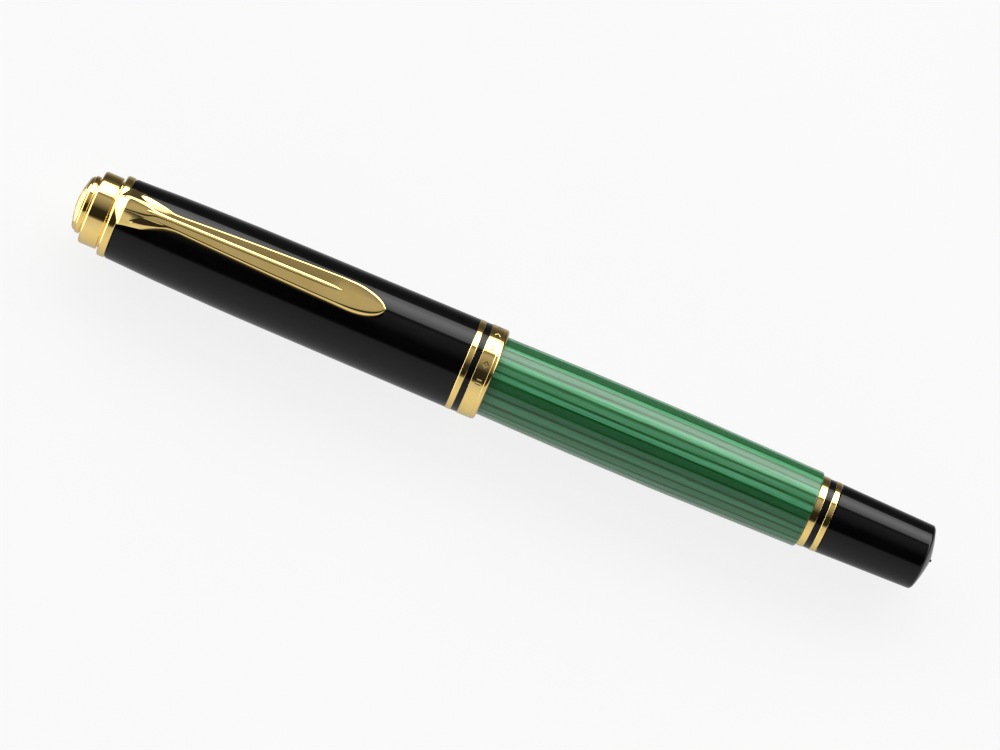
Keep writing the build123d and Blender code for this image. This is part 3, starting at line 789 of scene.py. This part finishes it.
def smooth_table(rows, station):
    """Smooth values between the rows of a table of (station, numbers)."""
    count = len(rows)
    i = min(max(sum(1 for row in rows if row[0] <= station) - 1, 0), count - 2)
    x0, x1 = rows[i][0], rows[i + 1][0]
    t = (station - x0) / (x1 - x0)
    values = []
    for k in range(len(rows[0][1])):
        y0, y1 = rows[i][1][k], rows[i + 1][1][k]
        slope = (y1 - y0) / (x1 - x0)
        before = (y0 - rows[i - 1][1][k]) / (x0 - rows[i - 1][0]) if i > 0 else slope
        after = (rows[i + 2][1][k] - y1) / (rows[i + 2][0] - x1) if i + 2 < count else slope
        m0 = (before + slope) / 2 * (x1 - x0)
        m1 = (slope + after) / 2 * (x1 - x0)
        values.append(
            (2 * t**3 - 3 * t**2 + 1) * y0
            + (t**3 - 2 * t**2 + t) * m0
            + (3 * t**2 - 2 * t**3) * y1
            + (t**3 - t**2) * m1
        )
    return values


def softened(corners, reach=0.045):
    """Open corners, each with a small round in place of its sharp point."""
    rounded = [corners[0]]
    for before, here, after in zip(corners, corners[1:], corners[2:]):
        here = Vector(here)
        back = Vector(before) - here
        on = Vector(after) - here
        start = here + back * min(reach / max(back.length, 1e-6), 0.4)
        end = here + on * min(reach / max(on.length, 1e-6), 0.4)
        rounded += [tuple(start), tuple((start + end + 2 * here) / 4), tuple(end)]
    rounded.append(corners[-1])
    return rounded


def clip_section(station, table):
    """One closed ring round the clip: centre line, face, edges, foot and underside."""
    values = smooth_table(table, station)
    under = values[-1]
    corners = [(values[2 * k], values[2 * k + 1]) for k in range(6)]
    face_edge, face = corners[0]
    foot_across, foot = corners[-1]
    rise = 0.1 * clamp((station - 10.6) / 1.2) * clamp((CENTRE_LINE_END - station) / 0.4)
    line = min(0.15, face_edge * 0.8)
    beam_edge, beam = corners[1]
    drop = face - beam
    step_width = min(0.45 * (beam_edge - face_edge), max(2 * drop, 0.03))
    half = [(0, face + rise), (line * 0.4, face + rise), (line, face)]
    half += [corners[0], (face_edge + step_width, face - 0.92 * drop)]
    half += corners[1:] + [(foot_across - 0.14, foot - 0.06), (foot_across * 0.5, under)]
    half = softened(half)
    right = [point(station, across, height) for across, height in half]
    left = [point(station, -across, height) for across, height in reversed(half[1:])]
    return right + [point(station, 0, under)] + left


def clip_body():
    """The whole clip as one pressed piece."""
    blade_stations = [HEAD_END] + [18 + 2 * i for i in range(12)] + [41.6, CENTRE_LINE_END, 43]
    tip_length = CLIP_TIP - CLIP_BEND
    blade_stations += [CLIP_BEND + tip_length * math.sin(math.pi / 2 * i / 16) for i in range(16)]
    blade_stations.append(CLIP_TIP - 0.004)
    table = []
    for station, corners, under in list(CLIP_HEAD) + [(s, *blade_corners(s)) for s in blade_stations]:
        table.append((station, [n for corner in corners for n in corner] + [under]))
    stations = [CLIP_START + 0.1 * i for i in range(110)]
    stations += [station for station in blade_stations if station > stations[-1] + 0.1]
    sections = [clip_section(station, table) for station in stations]
    return loft_mesh("clip_arm_body", sections, sharp=math.radians(60))


clip = clip_body()
clip.data.materials.append(GOLD)
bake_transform(clip)
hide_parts("clip_arm")

# ---------------------------------------------------------------- CAD pieces that keep their shape
CAD_FINISH = {
    "inner_cap": LINER,
    "finial_stud": STEEL,
    "ink_tube": CLEAR,
    "nib_collar": BLACK,
    "feed": FEED_BLACK,
    "nib": NIB_GOLD,
    "nib_tip": STEEL,
    "piston_guide": BRASS,
    "knob_sleeve": BRASS,
    "knob_stop_ring": BRASS,
    "spindle": BRASS,
    "piston_rod": ROD,
    "piston_seal": SEAL,
}
for name, material in CAD_FINISH.items():
    NODES[name].data.materials.clear()
    NODES[name].data.materials.append(material)

# ---------------------------------------------------------------- floor
FLOOR_HALF = 1.6
floor_corners = [(x * FLOOR_HALF, y * FLOOR_HALF, 0) for x, y in ((-1, -1), (1, -1), (1, 1), (-1, 1))]
floor_mesh = bpy.data.meshes.new("studio_floor")
floor_mesh.from_pydata(floor_corners, [], [(0, 1, 2, 3)])
floor = bpy.data.objects.new("studio_floor", floor_mesh)
bpy.context.scene.collection.objects.link(floor)
paper = Shader("floor_paper")
paper.set(Base_Color=paper.ramp(paper.noise((0.02, 0.02, 0.02)), [(0.3, grey(0.075)), (0.7, grey(0.08))]))
paper.set(Roughness=0.9, Specular_IOR_Level=0.0)
paper.set(Emission_Color=(1, 1, 1, 1), Emission_Strength=0.84)
floor_mesh.materials.append(paper.material)
floor.visible_glossy = False

# ---------------------------------------------------------------- light
# brightness round the pen, by the angle from straight up towards +Y, in degrees: (angle, level)
ROOM = (
    (-180, 0.5),
    (-150, 0.62),
    (-118, 0.78),
    (-95, 0.85),
    (-70, 0.76),
    (-54, 0.64),
    (-50, 0.12),
    (-45, 0.02),
    (-20, 0.03),
    (-12, 0.12),
    (0, 0.29),
    (20, 0.49),
    (25, 0.29),
    (29, 0.12),
    (32, 2.8),
    (40, 4.0),
    (50, 5.4),
    (58, 5.4),
    (66, 3.8),
    (73.5, 2.9),
    (76, 0.2),
    (90, 0.07),
    (105, 0.08),
    (118, 0.16),
    (135, 0.42),
    (160, 0.5),
)
ROOM_STRENGTH = 6.0
END_BOX_LEVEL = 2.2

world = bpy.data.worlds.new("studio")
bpy.context.scene.world = world
world.use_nodes = True
sky = world.node_tree


def sky_node(kind, inputs=None, **settings):
    """A node of the world, with its inputs set to numbers or joined to other nodes' outputs."""
    node = sky.nodes.new(kind)
    for key, value in settings.items():
        setattr(node, key, value)
    for key, value in (inputs or {}).items():
        if isinstance(value, bpy.types.NodeSocket):
            sky.links.new(value, node.inputs[key])
        else:
            node.inputs[key].default_value = value
    return node


def sky_range(value, low, high, top=1.0):
    """0 where the value is low or beyond, and top where it is high."""
    inputs = {"Value": value, "From Min": low, "From Max": high, "To Max": top}
    return sky_node("ShaderNodeMapRange", inputs).outputs[0]


direction = sky_node("ShaderNodeTexCoord").outputs["Generated"]
parts = sky_node("ShaderNodeSeparateXYZ", {0: direction}).outputs
around = sky_node("ShaderNodeMath", {0: parts["Y"], 1: parts["Z"]}, operation="ARCTAN2").outputs[0]
bands = sky_node("ShaderNodeValToRGB", {"Fac": sky_range(around, -math.pi, math.pi)})
while len(bands.color_ramp.elements) < len(ROOM):
    bands.color_ramp.elements.new(0.5)
for element, (angle, level) in zip(bands.color_ramp.elements, ROOM):
    element.position = (angle + 180) / 360
    element.color = (*grey(level / ROOM_STRENGTH), 1)
# the second softbox fills the directions towards the finial, but for those high on the +Y side
low_side = sky_range(parts["Y"], 0.52, 0.4, END_BOX_LEVEL / ROOM_STRENGTH)
end_box = sky_range(parts["X"], -0.62, -0.74, low_side)
both = sky_node("ShaderNodeMix", data_type="RGBA", blend_type="ADD")
both.inputs["Factor"].default_value = 1.0
sky.links.new(bands.outputs["Color"], both.inputs["A"])
sky.links.new(end_box, both.inputs["B"])
background = sky.nodes["Background"]
background.inputs["Strength"].default_value = ROOM_STRENGTH
sky.links.new(both.outputs["Result"], background.inputs["Color"])

# a lamp over the pen that lights it without showing in its reflections
lamp = bpy.data.lights.new("softbox_top", "AREA")
lamp.shape = "RECTANGLE"
lamp.size, lamp.size_y = 0.9, 0.7
lamp.energy = 1.5
softbox = bpy.data.objects.new("softbox_top", lamp)
softbox.location = (0.1, 0.35, 0.9)
softbox.rotation_euler = (-softbox.location).to_track_quat("-Z", "Y").to_euler()
softbox.visible_glossy = False
bpy.context.scene.collection.objects.link(softbox)

# ---------------------------------------------------------------- camera
PEN_SLOPE = math.radians(22.93)  # of the pen in the picture
CLIP_LEAN = math.radians(20)  # of the view round the pen, away from the clip
AXIS_TILT = math.radians(1.45)  # of the view along the pen
DISTANCE = 0.87
AIM_STATION = 71.5
AIM_RIGHT, AIM_UP = -1.30, 1.13
SENSOR_WIDTH = 36
FOCAL_LENGTH = 204.5

away = Vector(
    (
        -math.sin(AXIS_TILT),
        -math.cos(AXIS_TILT) * math.sin(CLIP_LEAN),
        math.cos(AXIS_TILT) * math.cos(CLIP_LEAN),
    )
)
along = (Vector((1, 0, 0)) - away * away.x).normalized()
upward = away.cross(along)
right = along * math.cos(PEN_SLOPE) + upward * math.sin(PEN_SLOPE)
up = upward * math.cos(PEN_SLOPE) - along * math.sin(PEN_SLOPE)
aim = point(AIM_STATION, 0, 0) + right * AIM_RIGHT * MM + up * AIM_UP * MM
camera_data = bpy.data.cameras.new("camera")
camera_data.sensor_width = SENSOR_WIDTH
camera_data.lens = FOCAL_LENGTH
camera_data.clip_start = 0.01
camera_data.clip_end = 20
camera = bpy.data.objects.new("camera", camera_data)
camera.matrix_world = Matrix.Translation(aim + away * DISTANCE) @ Matrix(
    (
        (right.x, up.x, away.x, 0),
        (right.y, up.y, away.y, 0),
        (right.z, up.z, away.z, 0),
        (0, 0, 0, 1),
    )
)
bpy.context.scene.collection.objects.link(camera)
bpy.context.scene.camera = camera
bpy.context.scene.view_settings.view_transform = "Standard"
